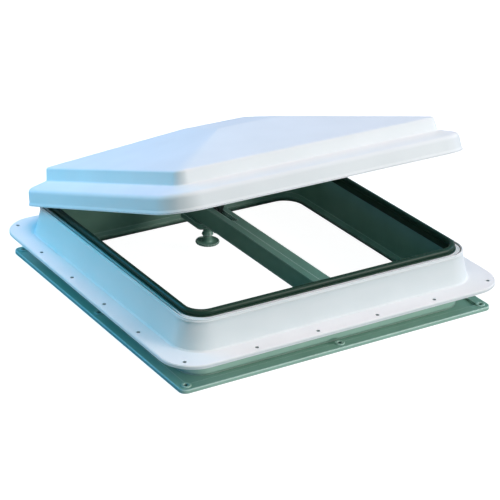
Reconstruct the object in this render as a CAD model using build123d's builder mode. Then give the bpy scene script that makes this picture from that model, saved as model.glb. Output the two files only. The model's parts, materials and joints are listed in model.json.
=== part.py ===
from build123d import *
import math
import os

os.makedirs("parts", exist_ok=True)

# Roof hatch for a caravan or camper, millimetres, +Z up.
# Origin: centre of the opening, on the plane of the roof skin.
# X runs along the front edge, +Y points to the hinge.
# Everything is placed in the pose of a lid that stands partly open.

# Collar that stands on the flange: its foot and its top edge set the hatch's size
collar_base_half = 188.5
collar_base_r = 34.0
collar_lean_in = 7.0
collar_wall = 2.5
collar_foot = 1.5
rim_top = 36.6
rim_thick = 2.4
rim_over = 0.8
rim_edge = 1.1
rim_groove_in = 2.8
rim_groove_w = 1.3
rim_groove_d = 1.2
rim_width = 10.3
rim_lip_r = 22.0

# Flange round the collar and its fixing holes
flange_width = 23.5
flange_corner_r = 38.0
flange_top = 4.0
flange_wall = 2.5
flange_lip_w = 3.0
flange_edge = 1.0
hole_inset = 8.0
hole_pitch = 76.0
holes_per_side = 4
corner_hole_inset = 17.0
hole_r = 2.25
hole_pillar_r = 4.0

# Rubber seal clipped on the inner lip of the rim
seal_grip = 3.5
seal_cover = 2.7
seal_skirt_w = 1.5
seal_skirt_drop = 8.1
seal_leg = 1.3
bulb_r = 3.7
bulb_bore_r = 2.3
bulb_sides = 8
bulb_in = 1.0
bulb_rise = 3.2

# Garnish ring that closes the hole from the room side
ring_width = 21.5
ring_corner_r = 8.0
ring_bottom = -31.0
ring_height = 4.5
ring_rim_w = 12.0
ring_rim_in_r = 3.0
ring_floor = 2.0
ring_wall = 2.2
ring_edge = 0.6
ring_hole_inset = 9.5
ring_hole_r = 2.1
ring_sink_r = 4.0
ring_sink_d = 2.0
ring_boss_r = 5.0
ring_boss_h = 1.6
upstand_play = 10.0
upstand_lean_in = 3.0
upstand_r = 27.0
upstand_below_seal = 1.5
opening_lip = 6.0
opening_low = -25.0
opening_high = -23.0
opening_back = -19.0

# Ribs that centre the upstand inside the collar
rib_w = 2.0
rib_gap = 0.3
rib_low = 6.0
rib_inner_at = 62.0
rib_outer_at = 125.0

# Crossbar with its end tabs, measured from the rim
bar_half = 12.0
bar_below_rim = 2.6
bar_height = 23.0
bar_wall = 2.0
bar_ridge_w = 9.0
bar_step = 1.5
bar_crease_w = 1.2
bar_crease_d = 0.6
bar_edge_r = 0.8
bar_rib_w = 2.0
bar_rib_rise = 3.0
bar_front_ribs = 4
bar_rear_ribs = 2
bar_seal_gap = 0.4
bar_end_gap = 0.3
tab_thick = 2.5
tab_side = 10.0
tab_height = 16.0
tab_screw_in = 4.5
tab_screw_rise = 8.0
pad_over = 1.0
pad_depth = 0.5
notch_gap = 1.5

# Hinge between base and lid
hinge_below_rim = 26.6
hinge_pin_r = 2.0
hinge_fit = 0.05
lug_wall = 3.0
lug_w = 8.0
lug_inner = 14.0
lug_web_rise = 2.0
leaf_half = 13.5
leaf_wall = 2.0
leaf_thick = 1.6
leaf_drop = 2.3
leaf_reach = 15.7
knee_over = 0.4
pad_proud = 0.7
pad_below_ledge = 0.5
lid_pad_half = 17.0
rivet_x = 8.0
rivet_rise = 8.7
rivet_r = 1.6
rivet_head_r = 3.2
rivet_crown_r = 1.9
rivet_head_h = 1.2
rivet_tail_r = 2.4
rivet_tail_h = 1.0
rivet_tail_gap = 0.1
pin_head_over = 1.6
pin_head_h = 1.2
pin_side_gap = 0.3
pin_end = 1.2
pin_groove_d = 0.4
clip_h = 0.7
clip_over = 1.6
clip_open = 1.6

# Lid, measured from its lower edge
lid_shift = 2.0
lid_below_rim = 12.3
lid_over_rim = 9.4
lid_wall = 2.5
skirt_height = 19.0
skirt_draft = 2.2
ledge_rise = 6.3
ledge_width = 22.5
riser_corner_r = 14.0
riser_height = 15.0
riser_draft = 2.3
crown_slope = 0.1885
plateau_half = 40.0
crown_inner_r = 1.0
seal_rib_w = 2.0
seal_rib_h = 5.0
seal_press_gap = 0.3

# Lid angles in degrees, measured from closed
rest_opening = 19.1
full_opening = 45.0

# Worm drive and lift arm: the arm's pivot lies this share of the way to the hinge
arm_share = 0.348
arm_rise = 12.0
module = 1.0
sector_teeth = 24
worm_pitch_r = 5.0
worm_length = 11.0
mesh_backlash = 0.22
tooth_backlash = 0.05
pressure_angle = 20.0
dedendum = 1.25
tooth_first = -4
tooth_last = 5
sector_half_w = 2.5
arm_half_w = 2.5
arm_hub_r = 6.5
arm_hub_half = 5.9
arm_root_depth = 5.0
arm_tip_r = 3.7
arm_rim = 1.6
arm_pocket_d = 1.3
arm_pocket_near = 6.0
arm_pocket_far = 4.0
arm_pin_r = 2.5
arm_pin_fit = 0.05
pin_inset = 0.1
arm_pin_edge = 0.4
fan_steps = 16
fan_margin = 3.0

# Slide rail under the lid and the shoe that runs in it
rail_rise = 47.1
rail_half_w = 7.5
rail_half_h = 5.8
rail_wall = 1.5
rail_fold_r = 1.2
rail_slot_gap = 1.0
rail_end_gap = 2.0
rail_stop = 1.5
shoe_gap = 0.25
shoe_front = 10.0
shoe_rear = 8.0
shoe_edge_r = 0.6
shoe_fork_gap = 0.4
shoe_fork_front = 4.6
shoe_pin_r = 1.7
shoe_pin_fit = 0.04
shoe_pin_edge = 0.3
foot_half = 17.0
foot_len = 14.0
foot_corner_r = 3.0
foot_inset = 12.0
foot_thick = 1.5
foot_sink = 0.2
foot_screw_x = 12.0
foot_hole_gap = 0.2
post_r = 4.0
post_web = 2.5
post_reach = 60.0
foot_screw_r = 1.5
foot_screw_head_r = 2.8
foot_screw_head_h = 1.6
foot_screw_length = 5.0

# Gear housing in the crossbar and the plate under it, measured from pivot and worm
housing_gap = 0.3
housing_front_reach = 49.0
housing_rear_reach = 37.0
housing_step_reach = 9.0
housing_belly_reach = 16.0
belly_wall = 1.4
chamber_side = 0.6
chamber_gap = 0.6
hub_chamber_gap = 0.3
worm_gap = 0.6
slot_reach = 43.5
slot_half = 4.5
slot_bush_gap = 0.6
tongue_side = 0.2
tongue_rise = 3.3
tongue_thick = 3.4
tongue_len = 8.0
tongue_gap = 0.3
web_reach = 5.0
plate_side = 4.5
plate_front_reach = 9.0
plate_rear_reach = 40.0
plate_depth = 5.0
plate_corner_r = 7.0
plate_edge = 1.5
plate_pocket_gap = 0.3
nose_top_r = 6.5
nose_wall = 1.86
nose_end = -7.6
operator_screw_reach = (18.0, 31.0)
operator_screw_r = 1.9
operator_hole_gap = 0.3
operator_head_r = 3.6
operator_head_h = 2.2
operator_head_gap = 0.3
operator_head_sink = 0.2
operator_screw_below = 6.0
screw_end_gap = 0.5
bar_boss_r = 4.2
bar_boss_rise = 9.0

# Drive shaft, its bushes and the knob
shaft_r = 2.5
shaft_fit = 0.04
shaft_over = 0.2
shaft_flat_d = 0.6
shoulder_w = 1.0
shoulder_h = 0.6
thread_sink = 0.4
thread_turns = 5.5
bush_wall = 1.0
bush_flange_h = 1.2
bush_flange_w = 1.5
bush_end_gap = 1.0
clip_recess_gap = 0.9
thrust_gap = 0.2
knob_gap = 1.0
knob_hub_wall = 2.8
knob_hub_h = 6.9
knob_disc_r = 14.3
knob_disc_h = 3.0
knob_dish_d = 1.0
knob_rim_w = 1.6
knob_edge = 0.8
knob_grip = 6.0
knob_socket_gap = 0.4
knob_screw_r = 1.4
knob_screw_head_r = 3.0
knob_screw_head_h = 1.8
knob_screw_head_gap = 0.3
knob_screw_sink = 0.2
knob_screw_reach = 5.1

# Tab screws
screw_r = 1.6
screw_head_r = 3.4
screw_length = 6.0

# Heights that hang on the rim
bar_top = rim_top - bar_below_rim
bar_bottom = bar_top - bar_height
hinge_z = rim_top - hinge_below_rim
lid_bottom_z = rim_top - lid_below_rim
bulb_z = rim_top + bulb_rise
seal_bottom = rim_top - seal_skirt_drop
upstand_top = seal_bottom - upstand_below_seal
rib_high = upstand_top - rib_gap
tab_top = bar_bottom + tab_height
pad_top = tab_top + pad_over
tab_screw_z = bar_bottom + tab_screw_rise
bar_end_top = seal_bottom - bar_end_gap
bar_ceiling = bar_top - bar_step - bar_wall
bar_rib_bottom = bar_bottom + bar_rib_rise
rivet_z = lid_bottom_z + rivet_rise
leaf_low = lid_bottom_z - leaf_drop
leaf_high = lid_bottom_z + leaf_reach

# Half widths that hang on the collar
flange_half = collar_base_half + flange_width
hole_line = flange_half - hole_inset
corner_hole_line = flange_half - corner_hole_inset
collar_height = rim_top - rim_thick - flange_top
collar_lean = collar_lean_in / collar_height
collar_in = collar_base_half - collar_wall
rim_half = collar_base_half - collar_lean_in + rim_over
rim_r = collar_base_r - collar_lean_in + rim_over
rim_lip_half = rim_half - rim_width
seal_outer_half = rim_lip_half + seal_grip
seal_inner_half = rim_lip_half - seal_cover
seal_skirt_half = seal_inner_half + seal_skirt_w
bulb_half = rim_lip_half - bulb_in
bulb_corner = rim_lip_r - bulb_in
upstand_base_half = collar_base_half - upstand_play
upstand_height = upstand_top - ring_bottom
upstand_lean = upstand_lean_in / upstand_height
ring_half = upstand_base_half + ring_width
ring_rim_in = ring_half - ring_rim_w
ring_hole_line = ring_half - ring_hole_inset
inner_base = upstand_base_half - ring_wall
opening_half = upstand_base_half - opening_lip
tab_face = collar_in - (tab_top - flange_top) * collar_lean - pad_depth
bar_full_end = seal_inner_half - bar_seal_gap

# Hinge and lid
hinge_x = hole_pitch
hinge_y = hole_line
lug_r = hinge_pin_r + lug_wall
leaf_r = hinge_pin_r + leaf_wall
pin_head_r = hinge_pin_r + pin_head_over
lid_half = rim_half + lid_over_rim
skirt_top_half = lid_half - skirt_draft
riser_half = skirt_top_half - ledge_width
riser_top_half = riser_half - riser_draft
skirt_r = riser_corner_r + ledge_width
lid_corner_r = skirt_r + skirt_draft
riser_top_r = riser_corner_r - riser_draft
crown_rise = round(crown_slope * (riser_top_half - plateau_half), 1)
ledge_top = skirt_height + ledge_rise
riser_top = ledge_top + riser_height
pad_face_y = lid_half + lid_shift + pad_proud
rivet_tail_y = (lid_half + lid_shift - lid_wall - rivet_tail_gap
                - skirt_draft * (rivet_rise + rivet_tail_r) / skirt_height)
rest = math.radians(rest_opening)

# Drive
arm_y = round(arm_share * hinge_y)
arm_z = bar_bottom + arm_rise
gear_r = module * sector_teeth / 2
worm_y = arm_y + gear_r + worm_pitch_r
worm_lead = math.pi * module
worm_root = worm_pitch_r - dedendum * module
worm_outer = worm_pitch_r + module
tooth_angle = 360.0 / sector_teeth
arm_reach = math.hypot(hinge_y - arm_y, arm_z - hinge_z)
rail_angle = round(math.degrees(math.atan2(rail_rise, hinge_y)), 1)
base_angle = math.degrees(math.atan2(arm_z - hinge_z, hinge_y - arm_y))
closed_spread = rail_angle - base_angle
rest_spread = closed_spread + rest_opening
full_spread = closed_spread + full_opening
arm_angle = base_angle + 2 * rest_spread
shoe_rest = 2 * arm_reach * math.cos(math.radians(rest_spread))
shoe_far = 2 * arm_reach * math.cos(math.radians(closed_spread))
shoe_near = 2 * arm_reach * math.cos(math.radians(full_spread))
rail_start = shoe_near - shoe_rear - rail_end_gap
rail_end = shoe_far + shoe_front + rail_end_gap
rail_slot_half = arm_half_w + rail_slot_gap
shoe_fork_half = arm_half_w + shoe_fork_gap
shoe_half_w = rail_half_w - rail_wall - shoe_gap
shoe_half_h = rail_half_h - rail_wall - shoe_gap
foot_places = (rail_start + foot_inset, rail_end - foot_inset)
foot_low = rail_half_h - foot_sink
foot_top = rail_half_h + foot_thick

# Housing, shaft and knob
bar_inner = bar_half - bar_wall
tab_half = bar_half + tab_side
tab_screw_x = tab_half - tab_screw_in
pad_half = tab_half + pad_over
chamber_half = sector_half_w + chamber_side
sweep_r = gear_r + module + chamber_gap
hub_half = arm_hub_half + hub_chamber_gap
hub_r = arm_hub_r + chamber_gap
housing_half = bar_inner - housing_gap
housing_front = arm_y - housing_front_reach
housing_rear = worm_y + housing_rear_reach
housing_step_y = worm_y + housing_step_reach
housing_belly_front = arm_y - housing_belly_reach
housing_bottom = arm_z - sweep_r - belly_wall
housing_top = bar_ceiling - housing_gap
bar_boss_bottom = bar_bottom + bar_boss_rise
housing_step_top = bar_boss_bottom - housing_gap
slot_front = arm_y - slot_reach
tongue_half = slot_half + tongue_side
tongue_low = bar_bottom + tongue_rise
tongue_high = tongue_low + tongue_thick
web_y = housing_front - web_reach
plate_half = bar_half + plate_side
plate_front = worm_y - plate_front_reach
plate_rear = worm_y + plate_rear_reach
plate_bottom = housing_bottom - plate_depth
nose_top = plate_bottom + plate_edge
nose_end_r = shaft_r + shaft_fit + nose_wall
operator_screw_y = [worm_y + reach for reach in operator_screw_reach]
operator_hole_r = operator_screw_r + operator_hole_gap
operator_screw_top = bar_top - operator_screw_below
worm_bottom = arm_z - worm_length / 2
worm_top = arm_z + worm_length / 2
thread_start = arm_z - worm_lead * thread_turns / 2
bush_bore_r = shaft_r + shaft_fit
bush_r = bush_bore_r + bush_wall
bush_flange_r = bush_r + bush_flange_w
bush_low = housing_bottom + bush_end_gap
bush_seat = worm_bottom - thrust_gap - bush_flange_h
bush_top = bar_top - bar_step
slot_rear = worm_y - bush_flange_r - slot_bush_gap
clip_z = bush_top + thrust_gap
shaft_top = bar_top + shaft_over
clip_recess_r = shaft_r - pin_groove_d + clip_over + clip_recess_gap
shoulder_r = shaft_r + shoulder_w
shaft_flat = shaft_r - shaft_flat_d
knob_top = nose_end - knob_gap
knob_disc_top = knob_top - knob_hub_h
knob_bottom = knob_disc_top - knob_disc_h
knob_hub_r = shaft_r + knob_hub_wall
shaft_end = knob_top - knob_grip
knob_screw_top = shaft_end + knob_screw_reach

# Hollow of the lid: its levels keep the wall's thickness on the sloping faces
hollow_low = skirt_height - lid_wall * 0.8
hollow_mid = ledge_top - lid_wall * 0.9
hollow_high = riser_top - lid_wall


def write(piece, name):
    """Label a finished piece and write it under its own name."""
    piece.part.label = name
    export_step(piece.part, "parts/" + name + ".step")
    print(name, len(piece.part.solids()), round(piece.part.volume / 1000, 2), "cm3")


def level(z):
    """Horizontal plane at a height."""
    return Plane.XY.offset(z)


def draft_angle(run, rise):
    """Draft in degrees of a wall that moves in by run over rise."""
    return math.degrees(math.atan2(run, rise))


def slab(plane, half, radius, height, taper=0.0, mode=Mode.ADD):
    """Rounded square plate of a height, narrowed by a taper angle."""
    with BuildSketch(plane) as outline:
        RectangleRounded(2 * half, 2 * half, radius)
    extrude(outline.sketch, amount=height, taper=taper, mode=mode)


def band(plane, outer, outer_r, inner, inner_r, height, mode=Mode.ADD):
    """Rounded square ring between two half widths."""
    with BuildSketch(plane) as outline:
        RectangleRounded(2 * outer, 2 * outer, outer_r)
        RectangleRounded(2 * inner, 2 * inner, inner_r, mode=Mode.SUBTRACT)
    extrude(outline.sketch, amount=height, mode=mode)


def tub(plane, half, radius, run, rise, mode=Mode.ADD):
    """Rounded square body whose walls lean in by run over rise."""
    slab(plane, half, radius, rise, draft_angle(run, rise), mode)


def crown(plane, half, radius, top_half, rise):
    """Rounded square body that slopes on four sides up to a flat square top."""
    slab(plane, half, radius, rise)
    outside = half + 1
    wedge = [(half, 0), (outside, 0), (outside, rise), (top_half, rise)]
    x, y = plane.x_dir, plane.y_dir
    for out, along in ((x, y), (y, -x), (-x, -y), (-y, x)):
        across = Plane(origin=plane.origin + along * outside, x_dir=out, z_dir=-along)
        prism(across, wedge, 2 * outside, Mode.SUBTRACT)


def rod(plane, radius, height, mode=Mode.ADD):
    """Round bar that stands on a plane."""
    with BuildSketch(plane) as outline:
        Circle(radius)
    extrude(outline.sketch, amount=height, mode=mode)


def cone(plane, low_r, high_r, height, mode=Mode.ADD):
    """Round body that changes from one radius to another."""
    with BuildSketch(plane) as low:
        Circle(low_r)
    with BuildSketch(plane.offset(height)) as high:
        Circle(high_r)
    loft([low.sketch.face(), high.sketch.face()], ruled=True, mode=mode)


def block(low, high, mode=Mode.ADD):
    """Box between two corners."""
    with BuildSketch(level(low[2])) as base:
        with Locations(((low[0] + high[0]) / 2, (low[1] + high[1]) / 2)):
            Rectangle(high[0] - low[0], high[1] - low[1])
    extrude(base.sketch, amount=high[2] - low[2], mode=mode)


def prism(plane, points, height, mode=Mode.ADD):
    """Straight body with a polygon outline drawn on a plane."""
    with BuildSketch(plane) as outline:
        with BuildLine():
            Polyline(*points, close=True)
        make_face()
    extrude(outline.sketch, amount=height, mode=mode)


def column(x, y, z, radius, height, mode=Mode.ADD):
    """Upright round bar."""
    rod(Plane(origin=(x, y, z)), radius, height, mode)


def side_plane(x, y, z):
    """Plane square to X, local x along +Y and local y along +Z."""
    return Plane(origin=(x, y, z), x_dir=(0, 1, 0), z_dir=(1, 0, 0))


def lid_side(x):
    """Plane square to X at the hinge axis, turned with the lid."""
    turned = (0, math.cos(rest), -math.sin(rest))
    return Plane(origin=(x, hinge_y, hinge_z), x_dir=turned, z_dir=(1, 0, 0))


def lid_plane(height=0.0, shift=0.0):
    """Plane parallel to the lid's lower edge, at a height above it, turned with the lid."""
    dy = lid_shift + shift - hinge_y
    dz = lid_bottom_z + height - hinge_z
    spot = lid_side(0).from_local_coords((dy, dz, 0))
    up = (0, math.sin(rest), math.cos(rest))
    return Plane(origin=spot, x_dir=(1, 0, 0), z_dir=up)


def rivet_plane(x, y):
    """Plane square to a hinge rivet, at a depth measured on the closed lid."""
    spot = lid_side(x).from_local_coords((y - hinge_y, rivet_z - hinge_z, 0))
    return Plane(origin=spot, x_dir=(1, 0, 0), z_dir=lid_side(x).x_dir)


def rail_point(distance, height=0.0):
    """Point on the slide rail's line, measured from the hinge axis, height above it."""
    a = math.radians(rail_angle + rest_opening)
    return (0, hinge_y - distance * math.cos(a) + height * math.sin(a),
            hinge_z + distance * math.sin(a) + height * math.cos(a))


def rail_cut(distance):
    """Plane square to the slide rail, local y away from the arm."""
    a = math.radians(rail_angle + rest_opening)
    along = (0, -math.cos(a), math.sin(a))
    return Plane(origin=rail_point(distance), x_dir=(1, 0, 0), z_dir=along)


def rail_roof(distance, height):
    """Plane along the slide rail that faces the lid, height above the rail's line."""
    a = math.radians(rail_angle + rest_opening)
    up = (0, math.sin(a), math.cos(a))
    return Plane(origin=rail_point(distance, height), x_dir=(1, 0, 0), z_dir=up)


def arm_side(x):
    """Plane square to X at the arm's pivot, local x along the arm."""
    a = math.radians(arm_angle)
    return Plane(origin=(x, arm_y, arm_z), x_dir=(0, -math.cos(a), math.sin(a)),
                 z_dir=(1, 0, 0))


# Places of the fixing holes in the flange and in the garnish ring
side_steps = [(i - (holes_per_side - 1) / 2) * hole_pitch for i in range(holes_per_side)]
flange_holes = [(i * corner_hole_line, j * corner_hole_line)
                for i in (-1, 1) for j in (-1, 1)]
for s in side_steps:
    for side in (-1, 1):
        flange_holes.append((s, side * hole_line))
        flange_holes.append((side * hole_line, s))
ring_holes = [(i * ring_hole_line, j * ring_hole_line)
              for i in (-1, 0, 1) for j in (-1, 0, 1) if i or j]


def collar_inner(z):
    """Half width of the collar's inner face at a height."""
    return collar_in - (z - flange_top) * collar_lean


def upstand_outer(z):
    """Half width of the ring upstand's outer face at a height."""
    return upstand_base_half - (z - ring_bottom) * upstand_lean


# Base moulding: flange, collar, stepped rim, ribs, crossbar pads and hinge lugs
with BuildPart() as base_frame:
    slab(level(flange_top - flange_wall), flange_half, flange_corner_r, flange_wall)
    band(level(0), flange_half, flange_corner_r,
         flange_half - flange_lip_w, flange_corner_r - flange_lip_w,
         flange_top - flange_wall)
    chamfer(base_frame.edges().group_by(Axis.Z)[-1], flange_edge)
    band(level(0), collar_base_half, collar_base_r,
         collar_in, collar_base_r - collar_wall, flange_top - flange_wall)
    tub(level(flange_top), collar_base_half, collar_base_r, collar_lean_in, collar_height)
    foot = base_frame.edges().filter_by(
        lambda e: abs(e.center().Z - flange_top) < 0.01
        and e.bounding_box().max.Z - e.bounding_box().min.Z < 0.01
        and max(abs(e.center().X), abs(e.center().Y)) < collar_base_half + 0.1
    )
    chamfer(foot, collar_foot)
    slab(level(rim_top - rim_thick), rim_half, rim_r, rim_thick)
    rim_edges = base_frame.edges().filter_by(
        lambda e: e.center().Z > rim_top - 0.01
    )
    chamfer(rim_edges, rim_edge)
    slab(level(rim_top - rim_thick), rim_lip_half, rim_lip_r, rim_thick, 0, Mode.SUBTRACT)
    slab(level(0), collar_in, collar_base_r - collar_wall, flange_top, 0, Mode.SUBTRACT)
    tub(level(flange_top), collar_in, collar_base_r - collar_wall, collar_lean_in,
        collar_height, Mode.SUBTRACT)
    band(level(rim_top - rim_groove_d), rim_half - rim_groove_in,
         rim_r - rim_groove_in, rim_half - rim_groove_in - rim_groove_w,
         rim_r - rim_groove_in - rim_groove_w, rim_groove_d, Mode.SUBTRACT)
    for s in (-rib_outer_at, -rib_inner_at, rib_inner_at, rib_outer_at):
        for side in (-1, 1):
            reach = [(upstand_outer(rib_low) + rib_gap, rib_low),
                     (collar_inner(rib_low) + collar_wall / 2, rib_low),
                     (collar_inner(rib_high) + collar_wall / 2, rib_high),
                     (upstand_outer(rib_high) + rib_gap, rib_high)]
            across = Plane(origin=(s - side * rib_w / 2, 0, 0), x_dir=(0, side, 0),
                           z_dir=(side, 0, 0))
            prism(across, reach, rib_w)
            along = Plane(origin=(0, s + side * rib_w / 2, 0), x_dir=(side, 0, 0),
                          z_dir=(0, -side, 0))
            prism(along, reach, rib_w)
    for side in (-1, 1):
        pad_low = bar_bottom - pad_over
        pad = [(tab_face, pad_low), (collar_inner(pad_low) + pad_over, pad_low),
               (collar_inner(pad_top) + pad_over, pad_top), (tab_face, pad_top)]
        place = Plane(origin=(-side * pad_half, 0, 0), x_dir=(0, side, 0),
                      z_dir=(side, 0, 0))
        prism(place, pad, 2 * pad_half)
        for x in (-tab_screw_x, tab_screw_x):
            bore = Plane(origin=(x, side * tab_face, tab_screw_z), x_dir=(1, 0, 0),
                         z_dir=(0, side, 0))
            rod(bore, screw_r, screw_length - tab_thick + screw_end_gap, Mode.SUBTRACT)
    for place in (-hinge_x, hinge_x):
        for x in (place - lug_inner - lug_w, place + lug_inner):
            rod(side_plane(x, hinge_y, hinge_z), lug_r, lug_w)
            skin_z = flange_top - flange_wall / 2
            block((x, hinge_y - lug_r, skin_z), (x + lug_w, hinge_y + lug_r, hinge_z))
            wall_y = collar_inner(flange_top) + collar_wall / 2
            web_z = hinge_z + lug_web_rise
            web_top_y = collar_inner(web_z) + collar_wall / 2
            lug_y = hinge_y - lug_r + collar_wall / 2
            web = [(wall_y, skin_z), (web_top_y, web_z), (lug_y, hinge_z), (lug_y, skin_z)]
            prism(side_plane(x, 0, 0), web, lug_w)
            rod(side_plane(x, hinge_y, hinge_z), hinge_pin_r + hinge_fit, lug_w,
                Mode.SUBTRACT)
    for x, y in flange_holes:
        column(x, y, 0, hole_pillar_r, flange_top - flange_wall)
        column(x, y, 0, hole_r, flange_top, Mode.SUBTRACT)
write(base_frame, "base_frame")

# Rubber edge seal: a channel that grips the rim lip, with a hollow bulb on top
with BuildPart() as collar_seal:
    grip_bottom = rim_top - rim_thick - seal_leg
    inner_r = rim_lip_r - seal_cover
    band(level(grip_bottom), seal_outer_half, rim_lip_r + seal_grip,
         seal_inner_half, inner_r, rim_thick + 2 * seal_leg)
    band(level(seal_bottom), seal_skirt_half, inner_r + seal_skirt_w,
         seal_inner_half, inner_r, grip_bottom - seal_bottom)
    with BuildSketch(level(bulb_z)) as track:
        RectangleRounded(2 * bulb_half, 2 * bulb_half, bulb_corner)
    loop = track.sketch.face().outer_wire()
    with BuildSketch(side_plane(0, bulb_half, bulb_z)) as bulb:
        RegularPolygon(bulb_r, bulb_sides, rotation=180 / bulb_sides)
    sweep(bulb.sketch, path=loop, transition=Transition.RIGHT)
    slab(level(rim_top - rim_thick), seal_outer_half + 1,
         rim_lip_r + seal_grip + 1, rim_thick, 0, Mode.SUBTRACT)
    band(level(rim_top - rim_thick), rim_lip_half, rim_lip_r,
         seal_inner_half, inner_r, rim_thick)
    with BuildSketch(side_plane(0, bulb_half, bulb_z)) as bore:
        RegularPolygon(bulb_bore_r, bulb_sides, rotation=180 / bulb_sides)
    sweep(bore.sketch, path=loop, transition=Transition.RIGHT, mode=Mode.SUBTRACT)
write(collar_seal, "collar_seal")

# Garnish ring: ceiling rim, floor, tall upstand and rolled lip round the opening
with BuildPart() as garnish_ring:
    floor_top = ring_bottom + ring_floor
    slab(level(ring_bottom), ring_half, ring_corner_r, ring_height)
    slab(level(floor_top), ring_rim_in, ring_rim_in_r, ring_height - ring_floor,
         0, Mode.SUBTRACT)
    chamfer(garnish_ring.edges().group_by(Axis.Z)[-1], ring_edge)
    tub(level(ring_bottom), upstand_base_half, upstand_r, upstand_lean_in, upstand_height)
    inner_r = upstand_r - ring_wall
    tub(level(ring_bottom), inner_base, inner_r, upstand_lean_in, upstand_height,
        Mode.SUBTRACT)
    slab(level(ring_bottom), inner_base + ring_wall / 2, inner_r + ring_wall / 2,
         opening_back - ring_bottom)
    opening_r = inner_r - (inner_base - opening_half)
    tub(level(ring_bottom), inner_base, inner_r, inner_base - opening_half,
        opening_low - ring_bottom, Mode.SUBTRACT)
    slab(level(opening_low), opening_half, opening_r, opening_high - opening_low,
         0, Mode.SUBTRACT)
    back_half = inner_base - (opening_back - ring_bottom) * upstand_lean
    tub(level(opening_high), opening_half, opening_r, opening_half - back_half,
        opening_back - opening_high, Mode.SUBTRACT)
    for x, y in ring_holes:
        column(x, y, floor_top, ring_boss_r, ring_boss_h)
    for x, y in ring_holes:
        column(x, y, ring_bottom, ring_hole_r, ring_height, Mode.SUBTRACT)
        cone(Plane(origin=(x, y, ring_bottom)), ring_sink_r, ring_hole_r, ring_sink_d,
             Mode.SUBTRACT)
    for side in (-1, 1):
        near, far = sorted((side * opening_half, side * upstand_base_half))
        block((-bar_half - notch_gap, near, bar_bottom - notch_gap),
              (bar_half + notch_gap, far, upstand_top + 1), Mode.SUBTRACT)
write(garnish_ring, "garnish_ring")

# Crossbar: inverted channel with a stepped top, ribs, screw bosses and end tabs
with BuildPart() as crossbar:
    block((-bar_half, -tab_face, bar_bottom), (bar_half, tab_face, bar_top - bar_step))
    block((-bar_half, -tab_face, bar_bottom), (bar_ridge_w - bar_half, tab_face, bar_top))
    long_edges = crossbar.edges().filter_by(Axis.Y).filter_by(
        lambda e: e.center().Z > bar_ceiling
        and (abs(e.center().X) > bar_half - 0.01)
    )
    fillet(long_edges, bar_edge_r)
    crease = bar_ridge_w - bar_half
    block((crease, -tab_face, bar_top - bar_step - bar_crease_d),
          (crease + bar_crease_w, tab_face, bar_top), Mode.SUBTRACT)
    block((-bar_inner, -tab_face, bar_bottom), (bar_inner, tab_face, bar_ceiling),
          Mode.SUBTRACT)
    for side in (-1, 1):
        near, far = sorted((side * bar_full_end, side * (tab_face + 1)))
        block((-bar_half, near, bar_end_top), (bar_half, far, bar_top), Mode.SUBTRACT)
        near, far = sorted((side * (bar_full_end - bar_wall), side * tab_face))
        block((-bar_inner, near, bar_end_top - bar_wall), (bar_inner, far, bar_end_top))
        near, far = sorted((side * (bar_full_end - bar_wall), side * bar_full_end))
        block((-bar_inner, near, bar_end_top - bar_wall), (bar_inner, far, bar_ceiling))
        near, far = sorted((side * (tab_face - tab_thick), side * tab_face))
        block((-tab_half, near, bar_bottom), (tab_half, far, tab_top))
    front_pitch = (web_y + bar_full_end) / (bar_front_ribs + 1)
    rear_pitch = (bar_full_end - housing_rear) / (bar_rear_ribs + 1)
    front_ribs = [(i + 1) * front_pitch - bar_full_end for i in range(bar_front_ribs)]
    rear_ribs = [(i + 1) * rear_pitch + housing_rear for i in range(bar_rear_ribs)]
    for y in front_ribs + [web_y] + rear_ribs:
        block((-bar_inner, y, bar_rib_bottom), (bar_inner, y + bar_rib_w, bar_ceiling))
    block((-tongue_half - tongue_gap, web_y, tongue_low - tongue_gap),
          (tongue_half + tongue_gap, web_y + bar_rib_w, tongue_high + tongue_gap),
          Mode.SUBTRACT)
    for y in operator_screw_y:
        column(0, y, bar_boss_bottom, bar_boss_r, bar_ceiling - bar_boss_bottom)
        column(0, y, bar_boss_bottom, operator_screw_r,
               operator_screw_top + screw_end_gap - bar_boss_bottom, Mode.SUBTRACT)
    block((-slot_half, slot_front, bar_ceiling), (slot_half, slot_rear, bar_top),
          Mode.SUBTRACT)
    column(0, worm_y, bar_top - bar_step, clip_recess_r, bar_step, Mode.SUBTRACT)
    column(0, worm_y, bar_ceiling, bush_r, bar_top - bar_ceiling, Mode.SUBTRACT)
    for side in (-1, 1):
        for x in (-tab_screw_x, tab_screw_x):
            seat = Plane(origin=(x, side * (tab_face - tab_thick), tab_screw_z),
                         x_dir=(1, 0, 0), z_dir=(0, side, 0))
            rod(seat, screw_r, tab_thick, Mode.SUBTRACT)
            cone(seat, screw_head_r, screw_r, screw_head_r - screw_r, Mode.SUBTRACT)
write(crossbar, "crossbar")

# Countersunk screws that hold the crossbar tabs to the collar
with BuildPart() as crossbar_screws:
    for side in (-1, 1):
        for x in (-tab_screw_x, tab_screw_x):
            seat = Plane(origin=(x, side * (tab_face - tab_thick), tab_screw_z),
                         x_dir=(1, 0, 0), z_dir=(0, side, 0))
            cone(seat, screw_head_r, screw_r, screw_head_r - screw_r)
            rod(seat, screw_r, screw_length)
write(crossbar_screws, "crossbar_screws")

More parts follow.
